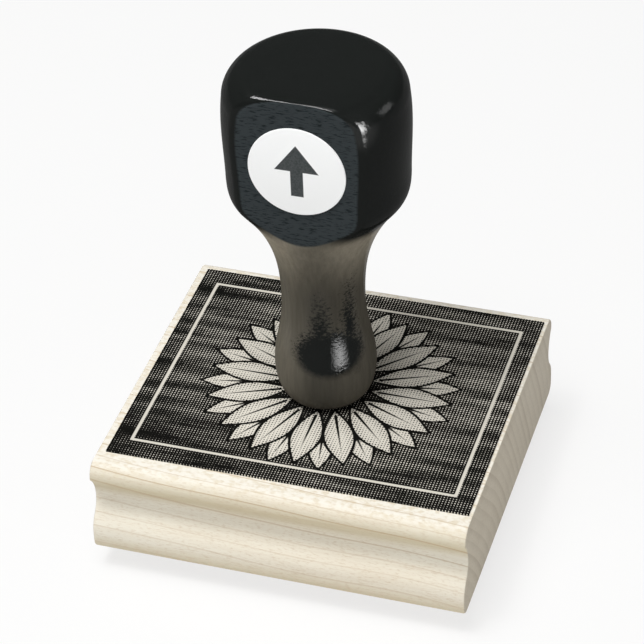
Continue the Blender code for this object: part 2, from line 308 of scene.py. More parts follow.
def revolve(outline, steps):
    """Grid of a turned surface: each (radius, height) row swept round Z in equal steps of angle."""
    angle = np.linspace(0.0, math.tau, steps + 1)
    radius = outline[:, :1]
    height = np.broadcast_to(outline[:, 1:], (len(outline), steps + 1))
    return np.stack((radius * np.cos(angle), radius * np.sin(angle), height), axis=-1)


def bore(piece, outline):
    """Cut a turned hole, given as (radius, height) rows from axis to axis, out of a piece."""
    cutter = bpy.data.objects.new("bore", welded_mesh("bore", [revolve(outline, CORNER_STEPS * 4)]))
    bpy.context.scene.collection.objects.link(cutter)
    modifier = piece.modifiers.new("bore", "BOOLEAN")
    modifier.object = cutter
    bpy.context.view_layer.update()
    cut = bpy.data.meshes.new_from_object(piece.evaluated_get(bpy.context.evaluated_depsgraph_get()))
    piece.modifiers.clear()
    whole = piece.data
    piece.data = cut
    bpy.data.meshes.remove(whole)
    bpy.data.objects.remove(cutter)


def grid_on(half_width, rows, columns):
    """Grid whose row at height y runs from -half_width to half_width in equal steps of x."""
    across = np.linspace(-1.0, 1.0, columns)
    return half_width[:, None] * across, np.broadcast_to(rows[:, None], (len(rows), columns))


def rim_of(grid):
    """Closed loop of a grid's border points, starting and ending at its first corner."""
    return np.concatenate((grid[0, :-1], grid[:-1, -1], grid[-1, :0:-1], grid[::-1, 0]))


def wall(loop, height):
    """Two-row grid that carries a loop of points straight up or down to a height."""
    far = loop.copy()
    far[:, 2] = height
    return np.stack((loop, far))


def smooth_step(value):
    """Ramp from 0 to 1 with level ends: 3 t squared minus 2 t cubed."""
    t = np.clip(value, 0.0, 1.0)
    return t * t * (3.0 - 2.0 * t)


def artwork(x, y, sizes):
    """The printed design at points in metres: reach into petals, line work and border, and ground tone.

    A petal is the lens across < width / 2 * sin(pi * way) about its own axis, where way runs from
    0 at the root to 1 at the tip. Two rings share one pitch, and the back ring is turned by half of it.
    Each reach is positive inside its form and falls off in millimetres outside it.
    """
    x = x / MM
    y = y / MM
    root, tip, width = sizes.petal_root / MM, sizes.petal_tip / MM, sizes.petal_width / MM
    pitch = math.tau / sizes.petal_count
    distance = np.hypot(x, y)
    turn = np.arctan2(y, x) / pitch
    outline_half, vein_half, vein_start, vein_stop = 0.26, 0.34, 0.08, 0.86
    eye_half, eye_inset, eye_clear = 0.55, 2.2, 0.6
    border_half, border_inset = 0.3, 2.2
    front_ring = (0.0, root, tip, width)
    back_ring = (0.5, root + 5.0, tip + 1.6, width * 0.86)
    rings = []
    for offset, near, far, wide in (front_ring, back_ring):
        fold = np.abs((turn + offset + 0.5) % 1.0 - 0.5) * pitch
        along, across = distance * np.cos(fold), distance * np.sin(fold)
        way = np.clip((along - near) / (far - near), 0.0, 1.0)
        lens = wide / 2 * np.sin(np.pi * way) - across
        edge = np.minimum(lens, np.minimum(along - near, far - along))
        from_ends = np.minimum(way - vein_start, vein_stop - way) * (far - near)
        vein = np.minimum(vein_half * (1.0 - way) - across, from_ends)
        rings.append((edge, vein))
    (front, front_vein), (back, back_vein) = rings
    back = np.where(front > -outline_half, np.minimum(back, -outline_half), back)
    petal = np.maximum(front, back)
    hidden = front > -outline_half
    back_line = np.where(hidden, -1.0, np.maximum(np.minimum(back_vein, back), outline_half - np.abs(back)))
    front_line = np.maximum(np.minimum(front_vein, front), outline_half - np.abs(front + outline_half))
    line = np.maximum(front_line, back_line)
    eye = eye_half - np.abs(distance - (root - eye_inset))
    petal = np.maximum(petal, eye)
    line = np.where(eye > -eye_clear, np.maximum(line, -eye), line)
    half_x, half_y = ((high - low) / 2 / MM - border_inset for low, high in zip(DIE_LOW.xy, DIE_HIGH.xy))
    border = border_half - np.abs(np.maximum(np.abs(x) - half_x, np.abs(y) - half_y))
    # The ground is nearly black: palest round the petals' tips and to the right, darkest in front
    glow = np.exp(-(((distance - tip - 1.0) / 7.0) ** 2))
    lit_side = smooth_step((x + 12.0) / 46.0)
    tone = 0.08 + 0.12 * glow + 0.07 * lit_side - 0.05 * smooth_step((-10.0 - y) / 10.0)
    return petal, line, border, tone


def fill(node, inputs):
    """Set or link a node's inputs, given in order or by name or number."""
    for key, value in inputs.items() if isinstance(inputs, dict) else enumerate(inputs):
        if isinstance(value, bpy.types.NodeSocket):
            node.id_data.links.new(value, node.inputs[key])
        else:
            node.inputs[key].default_value = value


def add(tree, kind, inputs=(), output=0, **settings):
    """Add a shader node with its settings, fill its inputs, and give back one of its outputs.

    A kind's mode comes after a dot. A Map Range takes a value, the range it comes from and the range it
    goes to. A Mix takes its factor at 0, numbers at 2 and 3 and colours at 6 and 7, and gives a number at 0
    and a colour at 2.
    """
    kind, _, mode = kind.partition(".")
    node = tree.nodes.new(f"ShaderNode{kind}")
    if mode:
        setattr(node, MODE_OF[kind], mode)
    for name, value in settings.items():
        setattr(node, name, value)
    fill(node, inputs)
    return node.outputs[output] if node.outputs else None


def start_material(name, sockets):
    """A new material, the call that adds nodes to it, and its shader, whose plain sockets are set."""
    material = bpy.data.materials.new(name)
    material.use_nodes = True
    shader = material.node_tree.nodes["Principled BSDF"]
    fill(shader, sockets)
    return material, partial(add, material.node_tree), shader


def end_material(node, shader, colour, rough, height, strength, depth):
    """Link a material's colour, roughness and relief so many millimetres deep, and give back the bump."""
    bump = node("Bump", {"Height": height, "Strength": strength, "Distance": depth * MM})
    fill(shader, {"Base Color": colour, "Roughness": rough, "Normal": bump})
    return bump


def in_millimetres(node, scale=(1.0, 1.0, 1.0)):
    """Object coordinates in millimetres, each axis multiplied by a scale."""
    place = node("TexCoord", output="Object")
    factors = tuple(value / MM for value in scale)
    return node("VectorMath.MULTIPLY", (place, factors))


def sanded_maple(colours, sizes):
    """Sugar maple, moulded and sanded bare: pale cream, fine straight fibre, thin tan growth lines.

    Growth lines are shells about a far pith line along X, so they run along the faces and cross the ends.
    Real fibres and rays are too fine to show, so they are drawn coarser.
    """
    material, node, shader = start_material("sanded_maple", {"IOR": 1.5, "Specular IOR Level": 0.05})
    pith = (BLOCK_LOW + BLOCK_HIGH) / 2 / MM + PITH_OFFSET
    wander_at = in_millimetres(node, (0.016, 0.03, 0.03))
    wander = node("TexNoise", {"Vector": wander_at, "Scale": 1.0, "Detail": 1.0}, "Color")
    tilted = node("Mapping", {"Vector": in_millimetres(node), "Rotation": (0.0, GRAIN_TILT, 0.0)})
    from_pith = node("VectorMath.SUBTRACT", (tilted, pith))
    bent = node("VectorMath.MULTIPLY_ADD", (wander, GRAIN_WANDER, from_pith))
    across = node("VectorMath.MULTIPLY", (bent, (0.0, 1.0, 1.0)))
    distance = node("VectorMath.LENGTH", (across,), "Value")
    spacing = sizes.growth_spacing / MM
    year = node("Math.DIVIDE", (distance, spacing))
    season = node("Math.FRACT", (year,))
    number = node("Math.FLOOR", (year,))
    chance = node("TexWhiteNoise", {"W": number}, "Value", noise_dimensions="1D")
    strength = node("MapRange", (chance, 0.1, 0.9, 0.3, 1.0))
    late = node("MapRange.SMOOTHSTEP", (season, 0.87, 0.98))
    growth = node("Math.MULTIPLY", (late, strength))
    fibre, cloud, stipple, ray, vessel = (
        node("TexNoise", {
            "Vector": in_millimetres(node, waves), "Scale": 1.0, "Detail": detail, "Roughness": share,
        })
        for waves, detail, share in MAPLE_NOISES
    )
    fleck = node("MapRange", (ray, 0.54, 0.7, 0.0, 0.34))
    # Painted sheen: pale patches between the rays, kept to the top, stand in for the wood's shimmer in the
    # light
    painted_sheen = node("MapRange", (ray, 0.6, 0.44, 0.0, 0.6))
    height = node("SeparateXYZ", (in_millimetres(node),), "Z")
    brow = BLOCK_HIGH.z / MM - NOSE_HEIGHT
    on_nose = node("MapRange", (height, brow, brow + 2.2, 0.15, 1.0))
    fleck = node("Math.MULTIPLY", (fleck, on_nose))
    on_top = node("MapRange", (height, brow + 2.8, brow + 3.45))
    painted_sheen = node("Math.MULTIPLY", (painted_sheen, on_top))
    shade = node("MapRange", (cloud, 0.35, 0.7, 0.0, 0.16))
    thread = node("MapRange", (fibre, 0.4, 0.75, 0.0, 0.16))
    speck = node("MapRange", (stipple, 0.52, 0.72, 0.0, 0.3))
    tint = node("Math.ADD", (node("Math.ADD", (shade, thread)), speck))
    base = BLOCK_LOW.z / MM
    # Painted shade: the wood turns warmer and darker under the nose's overhang and towards the rounded
    # bottom edge, where shade falls
    below_nose = node("MapRange", (height, brow + 3.3, brow + 0.2, 0.0, 0.85))
    above_cove = node("MapRange", (height, brow - 4.0, brow - 2.2))
    low_edge = node("MapRange", (height, base + 4.0, base + 0.8, 0.0, 0.9))
    burnish = node("Math.MULTIPLY", (below_nose, above_cove))
    burnish = node("Math.MAXIMUM", (burnish, low_edge))
    wood = node("Mix.RGBA", {0: burnish, 6: colours.maple, 7: colours.burnish}, 2)
    plain = node("Mix.RGBA", {0: tint, 6: wood, 7: colours.growth}, 2)
    plain = node("Mix.RGBA", {0: painted_sheen, 6: plain, 7: colours.painted_sheen}, 2)
    flecked = node("Mix.RGBA", {0: fleck, 6: plain, 7: colours.fleck}, 2)
    share = node("Math.MULTIPLY", (growth, 0.85))
    face = node("Mix.RGBA", {0: share, 6: flecked, 7: colours.growth}, 2)
    pores = node("MapRange", (vessel, 0.45, 0.75, 0.0, 0.3))
    slow = node("MapRange.SMOOTHSTEP", (season, 0.3, 1.0))
    slow = node("Math.MULTIPLY", (slow, strength))
    rings = node("Math.MULTIPLY_ADD", (slow, 0.45, pores))
    dull = node("Math.ADD", (shade, rings), use_clamp=True)
    sawn = node("Mix.RGBA", {0: dull, 6: colours.end_grain, 7: colours.end_line}, 2)
    normal = node("TexCoord", output="Normal")
    ends = node("SeparateXYZ", (normal,), "X")
    ends = node("Math.ABSOLUTE", (ends,))
    ends = node("MapRange", (ends, 0.5, 0.95))
    colour = node("Mix.RGBA", {0: ends, 6: face, 7: sawn}, 2)
    rough = node("MapRange", (fibre, 0.3, 0.7, 0.46, 0.62))
    raised = node("Math.MULTIPLY_ADD", (growth, 0.6, fibre))
    end_material(node, shader, colour, rough, raised, strength=0.35, depth=0.05)
    return material


def black_lacquer(colours, flat_at):
    """Black lacquer on turned hardwood: deep gloss on the head, and a painted warm reflection on neck and
    foot.

    The flat is the only place at its depth, so the Y coordinate finds it, and its open pores run along X.
    The painted reflection is found by height over the seat and is palest under the head and on the left
    side.
    It leaves one ragged bare black patch on the foot, the union of a few ellipses on the unrolled surface.
    """
    material, node, shader = start_material(
        "black_lacquer", {"IOR": 1.5, "Specular IOR Level": 0.0, "Coat IOR": 1.5, "Coat Roughness": 0.1},
    )
    place = in_millimetres(node)
    across, depth, height = (node("SeparateXYZ", (place,), axis) for axis in "XYZ")
    front = flat_at / MM
    flat = node("MapRange", (depth, front + 0.04, front + 0.12, 1.0, 0.0))
    grain, chips, veins, rings, peel = (
        node("TexNoise", {
            "Vector": in_millimetres(node, waves), "Scale": 1.0, "Detail": detail, "Roughness": share,
        })
        for waves, detail, share in LACQUER_NOISES
    )
    pores = node("MapRange.SMOOTHSTEP", (grain, 0.5, 0.66))
    milled = node("Mix.RGBA", {0: pores, 6: colours.flat, 7: colours.pore}, 2)
    # Painted reflection: warm taupe stands in for the pale block and sheet mirrored in the glossy neck and
    # foot. It is left out of a ragged bare black patch on the foot. It grows up the neck, stops under the
    # head, is strongest on the left and is streaked by noise.
    seat = HANDLE_LOW.z / MM
    forward = node("Math.MULTIPLY", (depth, -1.0))
    turn = node("Math.ARCTAN2", (across, forward))
    girth = node("Math.MULTIPLY", (turn, FOOT_RADIUS))
    unrolled = node("CombineXYZ", (girth, height))
    reach = SPECK_REACH
    for angle, over_seat, half_girth, half_height, hold in BLACK_PATCH:
        middle = (math.radians(angle) * FOOT_RADIUS, seat + over_seat, 0.0)
        offset = node("VectorMath.SUBTRACT", (unrolled, middle))
        share = node("VectorMath.DIVIDE", (offset, (half_girth, half_height, 1.0)))
        out = node("VectorMath.LENGTH", (share,), "Value")
        inside = node("Math.MULTIPLY_ADD", (out, -hold, hold))
        reach = node("Math.MAXIMUM", (reach, inside))
    ragged = node("MapRange", (chips, 0.3, 0.7, -0.3, 0.3))
    frayed_up = node("MapRange", (height, seat + FRAY_LOW, seat + FRAY_HIGH, 0.15, 1.0))
    reach = node("Math.MULTIPLY_ADD", (ragged, frayed_up, reach))
    dull = node("MapRange", (reach, -0.1, 0.2, 1.0, 0.0))
    paler_up = node("MapRange.SMOOTHSTEP", (height, seat + PALE_LOW, seat + PALE_HIGH, 0.36, 0.95))
    under_head = node("MapRange.SMOOTHSTEP", (height, seat + REFLECTION_END, seat + GLOSS_START, 1.0, 0.0))
    side_reflection = node("MapRange.SMOOTHSTEP", (across, -7.0, 1.5, 1.0, 0.38))
    right_reflection = node("MapRange", (across, 3.0, 8.0, 0.38, 0.64))
    side_reflection = node("Math.MAXIMUM", (side_reflection, right_reflection))
    reflection_streaks = node("MapRange", (veins, 0.3, 0.7, 0.84, 1.16))
    satin = paler_up
    for share in (under_head, side_reflection, dull, reflection_streaks):
        satin = node("Math.MULTIPLY", (satin, share))
    # Painted reflection mixed into the lacquer's colour
    coat = node("Mix.RGBA", {0: satin, 6: colours.lacquer, 7: colours.painted_reflection}, 2)
    colour = node("Mix.RGBA", {0: flat, 6: coat, 7: milled}, 2)
    gloss = node("MapRange", (satin, 0.0, 0.3, 0.12, 0.16))
    away = node("VectorMath.DISTANCE", (place, POLISHED_CORNER), "Value")
    gloss = node("MapRange.SMOOTHSTEP", (away, 1.5, 4.5, 0.45, gloss))
    gloss = node("Mix.FLOAT", {0: flat, 2: gloss, 3: 0.01})
    rough = node("MapRange", (pores, 0.0, 1.0, 0.42, 0.58))
    rings = node("Math.MULTIPLY_ADD", (peel, 7.5, rings))
    sunk = node("Math.MULTIPLY", (pores, -6.0))
    relief = node("Mix.FLOAT", {0: flat, 2: rings, 3: sunk})
    bump = end_material(node, shader, colour, rough, relief, strength=0.6, depth=0.006)
    fill(shader, {"Coat Weight": gloss, "Coat Normal": bump})
    return material


def white_vinyl(colours):
    """Calendered white vinyl with a printed arrow: clean, even and slightly satin.

    The arrow is a shaft, |x| under its half width, joined to a head whose half width falls with height.
    """
    material, node, shader = start_material("white_vinyl", {"IOR": 1.46, "Specular IOR Level": 0.35})
    place = in_millimetres(node)
    across, height = (node("SeparateXYZ", (place,), axis) for axis in "XZ")
    across = node("Math.ABSOLUTE", (across,))
    middle = (MARK_LOW.z + MARK_HIGH.z) / 2 / MM
    up = node("Math.SUBTRACT", (height, middle))
    shaft_side = node("Math.SUBTRACT", (SHAFT_HALF, across))
    shaft_end = node("Math.ADD", (up, SHAFT_FOOT))
    shaft_top = node("Math.SUBTRACT", (SHAFT_TOP, up))
    shaft = node("Math.MINIMUM", (shaft_end, shaft_top))
    shaft = node("Math.MINIMUM", (shaft, shaft_side))
    slope = node("Math.MULTIPLY_ADD", (up, -HEAD_SLOPE, HEAD_HALF))
    head_side = node("Math.SUBTRACT", (slope, across))
    head_base = node("Math.SUBTRACT", (up, HEAD_BASE))
    head = node("Math.MINIMUM", (head_side, head_base))
    arrow = node("Math.MAXIMUM", (shaft, head))
    arrow = node("MapRange", (arrow, -0.05, 0.05))
    speck = node("TexNoise", {"Vector": place, "Scale": 3.0, "Detail": 2.0})
    ink = node("MapRange", (speck, 0.3, 0.7, 0.97, 1.0))
    printed = node("Math.MULTIPLY", (arrow, ink))
    colour = node("Mix.RGBA", {0: printed, 6: colours.vinyl, 7: colours.arrow}, 2)
    rough = node("MapRange", (speck, 0.3, 0.7, 0.38, 0.5))
    end_material(node, shader, colour, rough, speck, strength=0.2, depth=0.01)
    return material


def halftone_dots(node, sizes):
    """Dot screen turned by 45 degrees: the product of two sines, from -1 to 1."""
    beat = math.tau / (sizes.dot_pitch / MM) / math.sqrt(2.0)
    turned = node("Mapping", {
        "Vector": in_millimetres(node), "Rotation": (0.0, 0.0, SCREEN_ANGLE), "Scale": (beat, beat, 0.0),
    })
    waves = node("VectorMath.SINE", (turned,))
    along, across = (node("SeparateXYZ", (waves,), axis) for axis in "XY")
    return node("Math.MULTIPLY", (along, across))


def artwork_reach(node):
    """The artwork attribute of a piece: reach into its petals, its line work and its border."""
    vector = node("Attribute", (), "Vector", attribute_name="artwork")
    return [node("SeparateXYZ", (vector,), axis) for axis in "XYZ"]


def printed_paper(colours, sizes):
    """Uncoated label paper printed solid with black ink: a halftone screen, with soft ragged dots.

    A dot is bare paper where half its screen value plus the tone is over one half. Real felt is too fine to
    show, so it is drawn coarser.
    """
    material, node, shader = start_material("printed_paper", {"IOR": 1.48, "Specular IOR Level": 0.0})
    petal, line, border = artwork_reach(node)
    ground = node("Attribute", (), "Fac", attribute_name="tone")
    place = in_millimetres(node)
    soak = node("TexNoise", {"Vector": place, "Scale": 1.1, "Detail": 4.0, "Roughness": 0.65})
    uneven = node("MapRange", (soak, 0.25, 0.75, -0.09, 0.09))
    in_petal = node("MapRange", (petal, -0.03, 0.03))
    deep = node("MapRange", (petal, 0.0, 2.4, 0.62, 0.92))
    streak_at = in_millimetres(node, (0.05, 0.42, 0.42))
    streak = node("TexNoise", {"Vector": streak_at, "Scale": 1.0, "Detail": 3.0})
    swing = node("MapRange", (streak, 0.3, 0.7, -0.16, 0.16))
    ground = node("Math.ADD", (ground, swing))
    tone = node("Mix.FLOAT", {0: in_petal, 2: ground, 3: deep})
    tone = node("Math.ADD", (tone, uneven))
    dots = halftone_dots(node, sizes)
    level = node("Math.MULTIPLY_ADD", (dots, 0.5, tone))
    bare = node("MapRange", (level, 0.42, 0.58))
    off_line = node("MapRange", (line, -0.05, 0.05, 1.0, 0.0))
    bare = node("Math.MULTIPLY", (bare, off_line))
    on_border = node("MapRange", (border, -0.05, 0.05, 0.0, 0.92))
    bare = node("Math.MAXIMUM", (bare, on_border))
    colour = node("Mix.RGBA", {0: bare, 6: colours.ink, 7: colours.paper}, 2)
    rough = node("MapRange", (bare, 0.0, 1.0, 0.46, 0.7))
    felt = node("TexNoise", {"Vector": place, "Scale": 3.4, "Detail": 3.0})
    end_material(node, shader, colour, rough, felt, strength=0.25, depth=0.02)
    return material


def closed_cell_foam(colours):
    """Closed-cell foam sheet, die cut: dull grey, with the cut walls of its cells showing on the sides.

    The cells are drawn a little coarser than real ones, so that they show.
    """
    material, node, shader = start_material("closed_cell_foam", {"IOR": 1.45, "Specular IOR Level": 0.2})
    cells = node("TexVoronoi", {"Vector": in_millimetres(node), "Scale": 2.4}, "Distance", feature="F1")
    depth = node("MapRange", (cells, 0.15, 0.75))
    colour = node("Mix.RGBA", {0: depth, 6: colours.foam_cell, 7: colours.foam}, 2)
    rough = node("MapRange", (depth, 0.0, 1.0, 0.95, 0.82))
    end_material(node, shader, colour, rough, depth, strength=0.7, depth=0.12)
    return material


def red_rubber(colours, sizes):
    """Vulcanised red rubber, engraved: matt, with a pale bloom and the small pits of the dot screen."""
    material, node, shader = start_material("red_rubber", {"IOR": 1.52, "Specular IOR Level": 0.3})
    petal = artwork_reach(node)[0]
    place = in_millimetres(node)
    bloom = node("TexNoise", {"Vector": place, "Scale": 0.35, "Detail": 5.0, "Roughness": 0.65})
    dusty = node("MapRange", (bloom, 0.42, 0.72, 0.0, 0.55))
    dots = halftone_dots(node, sizes)
    pits = node("MapRange", (dots, 0.45, 0.7))
    ground = node("MapRange", (petal, -0.5, -0.3, 1.0, 0.0))
    pits = node("Math.MULTIPLY", (pits, ground))
    shade = node("Math.MULTIPLY_ADD", (pits, -0.5, dusty), use_clamp=True)
    colour = node("Mix.RGBA", {0: shade, 6: colours.rubber, 7: colours.rubber_dust}, 2)
    rough = node("MapRange", (bloom, 0.3, 0.7, 0.55, 0.8))
    height = node("Math.MULTIPLY_ADD", (pits, -3.0, bloom))
    end_material(node, shader, colour, rough, height, strength=0.6, depth=0.05)
    return material


def zinc_plate(colours):
    """Bright zinc on a rolled-thread steel screw: silvery, with a faint cloudy lustre."""
    material, node, shader = start_material("zinc_plated_steel", {"Metallic": 1.0})
    cloud = node("TexNoise", {"Vector": in_millimetres(node), "Scale": 0.9, "Detail": 4.0})
    dark = (*(value * ZINC_SHADE for value in colours.zinc[:3]), 1.0)
    colour = node("Mix.RGBA", {0: cloud, 6: dark, 7: colours.zinc}, 2)
    rough = node("MapRange", (cloud, 0.3, 0.7, 0.24, 0.42))
    end_material(node, shader, colour, rough, cloud, strength=0.2, depth=0.02)
    return material


def smooth_outline(outline, stations):
    """Cubic curve through (radius, height) rows at stations along its chord length.

    Each stretch is a Hermite cubic, its slopes the central differences of the rows. The last row
    lies on the axis, so a mirrored row beyond it keeps the curve level there.
    """
    mirrored = outline[-2] * (-1.0, 1.0)
    rows = np.vstack((outline, mirrored))
    chord = np.concatenate(([0.0], np.cumsum(np.hypot(*np.diff(rows, axis=0).T))))
    slopes = np.stack([np.gradient(rows[:, axis], chord) for axis in (0, 1)], axis=-1)
    stretch = np.clip(np.searchsorted(chord, stations, side="right") - 1, 0, len(outline) - 2)
    length = (chord[stretch + 1] - chord[stretch])[:, None]
    t = (stations - chord[stretch])[:, None] / length
    start, end = rows[stretch], rows[stretch + 1]
    start_slope, end_slope = slopes[stretch] * length, slopes[stretch + 1] * length
    return (
        (2 * t**3 - 3 * t**2 + 1) * start + (t**3 - 2 * t**2 + t) * start_slope
        + (3 * t**2 - 2 * t**3) * end + (t**3 - t**2) * end_slope
    )


def turned_levels(points):
    """Heights of a turned solid's rings and the widest radius at each, from its back half."""
    back = points[points[:, 1] > -WELD]
    levels, ring = np.unique(np.round(back[:, 2], 6), return_inverse=True)
    widest = np.zeros(len(levels))
    np.maximum.at(widest, ring, np.hypot(back[:, 0], back[:, 1]))
    return levels, widest


def handle_grid(sizes):
    """Grid of the lacquered handle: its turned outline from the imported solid, with a rolled-edge flat.

    Round the front the radius is the smooth minimum of the turned radius r and the flat's own
    f = flat / cos(angle from the front): r h + f (1 - h) - k h (1 - h), where h runs from 0 to 1
    as f - r goes from -k to k.
    """
    levels, widest = turned_levels(node_points("handle"))
    half_way = (HANDLE_LOW.z + HANDLE_HIGH.z) / 2
    inner = (widest < PILOT_ZONE) & (levels < half_way)
    outline = np.column_stack((widest[~inner], levels[~inner]))
    outline[-1, 0] = 0.0
    chord = np.concatenate(([0.0], np.cumsum(np.hypot(*np.diff(outline, axis=0).T))))
    head = chord[np.searchsorted(outline[:, 1], half_way)]
    low = np.arange(0.0, head, NECK_STEP)
    high = np.linspace(head, chord[-1], int((chord[-1] - head) / HEAD_STEP))
    skin = smooth_outline(outline, np.concatenate((low, high)))
    skin[-1] = outline[-1]
    seat = (outline[0, 0], SHEET_HIGH.z)
    hole = widest[inner].max()
    hole_top = levels[inner][widest[inner] > hole - WELD].max()
    drill = [(0.0, levels[inner].max()), (hole, hole_top), (hole, SHEET_HIGH.z)]
    grid = revolve(np.vstack((drill, [seat], skin)), TURN_STEPS)
    flat = -HANDLE_LOW.y + sizes.flat_proud
    radius = np.hypot(grid[..., 0], grid[..., 1])
    angle = np.linspace(0.0, math.tau, TURN_STEPS + 1)
    facing = np.broadcast_to(np.maximum(-np.sin(angle), LEAST_FACING), radius.shape)
    limit = flat / facing
    k = sizes.edge_roll
    h = np.clip(0.5 + 0.5 * (limit - radius) / k, 0.0, 1.0)
    cut = radius * h + limit * (1.0 - h) - k * h * (1.0 - h)
    kept = np.where(grid[..., 2] > half_way - FLAT_REACH, np.maximum(cut, 0.0), radius)
    ratio = np.divide(kept, radius, out=np.ones_like(radius), where=radius > WELD)
    grid[..., :2] *= ratio[..., None]
    return grid, -flat


def block_section():
    """Closed loop of the block's moulded section, as (y, z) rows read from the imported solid's end.

    The loop is stretched in height by the seat gap above the block, so that the sheet lies on it.
    """
    points = node_points("wood_block")
    end = points[points[:, 0] > BLOCK_HIGH.x - WELD]
    half = np.unique(np.round(end[end[:, 1] > 0.0][:, 1:], 7), axis=0)
    half = half[np.argsort(-half[:, 1])]
    stretch = (SHEET_LOW.z - TOUCH - BLOCK_LOW.z) / (BLOCK_HIGH.z - BLOCK_LOW.z)
    half[:, 1] = BLOCK_LOW.z + (half[:, 1] - BLOCK_LOW.z) * stretch
    other = half[::-1] * (-1.0, 1.0)
    return np.vstack((half, other, half[:1]))


class STAMP_OT_maple_block(Operator):
    """Moulded maple block: its section carried along X, with eased ends and the screw's hole."""

    bl_idname = "stamp.maple_block"
    bl_label = "Maple block"

    def execute(self, context):
        sizes, colours = context.scene.stamp_sizes, context.scene.stamp_colours
        section = block_section()
        loop = section[:-1]
        along = np.roll(loop, -1, axis=0) - np.roll(loop, 1, axis=0)
        inward = np.column_stack((along[:, 1], -along[:, 0])) / np.hypot(*along.T)[:, None]
        inward = np.vstack((inward, inward[:1]))
        turn = np.linspace(0.0, math.pi / 2, EASE_STEPS)
        reach = BLOCK_HIGH.x - sizes.end_ease * (1.0 - np.sin(turn))
        inset = sizes.end_ease * (1.0 - np.cos(turn))
        stations = np.concatenate((-reach[::-1], reach))
        insets = np.concatenate((inset[::-1], inset))
        outline = section + inward * insets[:, None, None]
        x = np.broadcast_to(stations[:, None, None], (len(stations), len(section), 1))
        grid = np.concatenate((x, outline), axis=-1)
        piece = make_piece("maple_block", [grid], sanded_maple(colours, sizes), "wood_block")
        points = node_points("wood_block")
        radius = np.hypot(points[:, 0], points[:, 1])
        levels = np.round(np.column_stack((points[:, 2], radius)), 6)
        hole = np.unique(levels[radius < CLEARANCE_ZONE], axis=0)
        rows = [(0.0, BLOCK_LOW.z - MM), (hole[0, 1], BLOCK_LOW.z - MM)]
        rows += [(r, z) for z, r in hole[1:-1]]
        rows += [(hole[-1, 1], SHEET_LOW.z + MM), (0.0, SHEET_LOW.z + MM)]
        bore(piece, np.array(rows))
        return {"FINISHED"}


class STAMP_OT_handle(Operator):
    """Lacquered handle, turned and milled flat on the front of its head."""

    bl_idname = "stamp.handle"
    bl_label = "Lacquered handle"

    def execute(self, context):
        grid, flat_at = handle_grid(context.scene.stamp_sizes)
        material = black_lacquer(context.scene.stamp_colours, flat_at)
        piece = make_piece("lacquered_handle", [grid], material, "handle")
        glint_receivers().objects.link(piece)
        return {"FINISHED"}


class STAMP_OT_front_mark(Operator):
    """Round vinyl mark on the handle's flat, a disc with a rolled rim."""

    bl_idname = "stamp.front_mark"
    bl_label = "Front mark"

    def execute(self, context):
        sizes = context.scene.stamp_sizes
        radius = (MARK_HIGH.x - MARK_LOW.x) / 2
        back = HANDLE_LOW.y - sizes.flat_proud
        thick = sizes.mark_thickness
        roll = thick * RIM_ROLL
        turn = np.linspace(0.0, math.pi / 2, EASE_STEPS)
        rim = np.column_stack((radius - roll + roll * np.cos(turn), thick - roll + roll * np.sin(turn)))
        outline = np.vstack(([(0.0, -TOUCH), (radius, -TOUCH)], rim, [(0.0, thick)]))
        disc = revolve(outline, TURN_STEPS // 2)
        centre = (MARK_LOW.z + MARK_HIGH.z) / 2
        grid = np.stack((disc[..., 0], back - disc[..., 2], centre + disc[..., 1]), axis=-1)
        material = white_vinyl(context.scene.stamp_colours)
        make_piece("vinyl_mark", [grid], material, "front_mark")
        return {"FINISHED"}


def store_artwork(mesh, sizes, centre=(0.0, 0.0)):
    """Keep the artwork's reaches and tone about a centre at each corner of a mesh, for its material."""
    flat = np.empty(len(mesh.vertices) * 3, dtype=np.float32)
    mesh.vertices.foreach_get("co", flat)
    points = flat.reshape(-1, 3)
    petal, line, border, tone = artwork(points[:, 0] - centre[0], points[:, 1] - centre[1], sizes)
    vectors = mesh.attributes.new("artwork", "FLOAT_VECTOR", "POINT")
    vectors.data.foreach_set("vector", np.column_stack((petal, line, border)).astype(np.float32).ravel())
    values = mesh.attributes.new("tone", "FLOAT", "POINT")
    values.data.foreach_set("value", tone.astype(np.float32))


class STAMP_OT_printed_sheet(Operator):
    """Printed paper sheet on the block's top, a fine flat grid that carries the artwork."""

    bl_idname = "stamp.printed_sheet"
    bl_label = "Printed sheet"

    def execute(self, context):
        sizes = context.scene.stamp_sizes
        rows = np.linspace(SHEET_LOW.y, SHEET_HIGH.y, int((SHEET_HIGH.y - SHEET_LOW.y) / SHEET_STEP))
        columns = int((SHEET_HIGH.x - SHEET_LOW.x) / SHEET_STEP)
        x, y = grid_on(np.full(len(rows), SHEET_HIGH.x), rows, columns)
        shift = sizes.sheet_shift
        top = np.stack((x + shift[0], y + shift[1], np.full(x.shape, SHEET_HIGH.z)), axis=-1)
        side = wall(rim_of(top), SHEET_LOW.z)
        material = printed_paper(context.scene.stamp_colours, sizes)
        piece = make_piece("printed_sheet", [top, side], material, "index_label")
        points = node_points("index_label")
        hole = np.hypot(points[:, 0], points[:, 1]).min()
        low, high = SHEET_LOW.z - MM, SHEET_HIGH.z + MM
        bore(piece, np.array([(0.0, low), (hole, low), (hole, high), (0.0, high)]))
        store_artwork(piece.data, sizes, shift)
        return {"FINISHED"}


def corner_radius(points, high):
    """Radius of a rounded rectangle's corners, from how far its straight sides reach."""
    straight = points[points[:, 0] > high.x - WELD]
    return high.y - straight[:, 1].max()


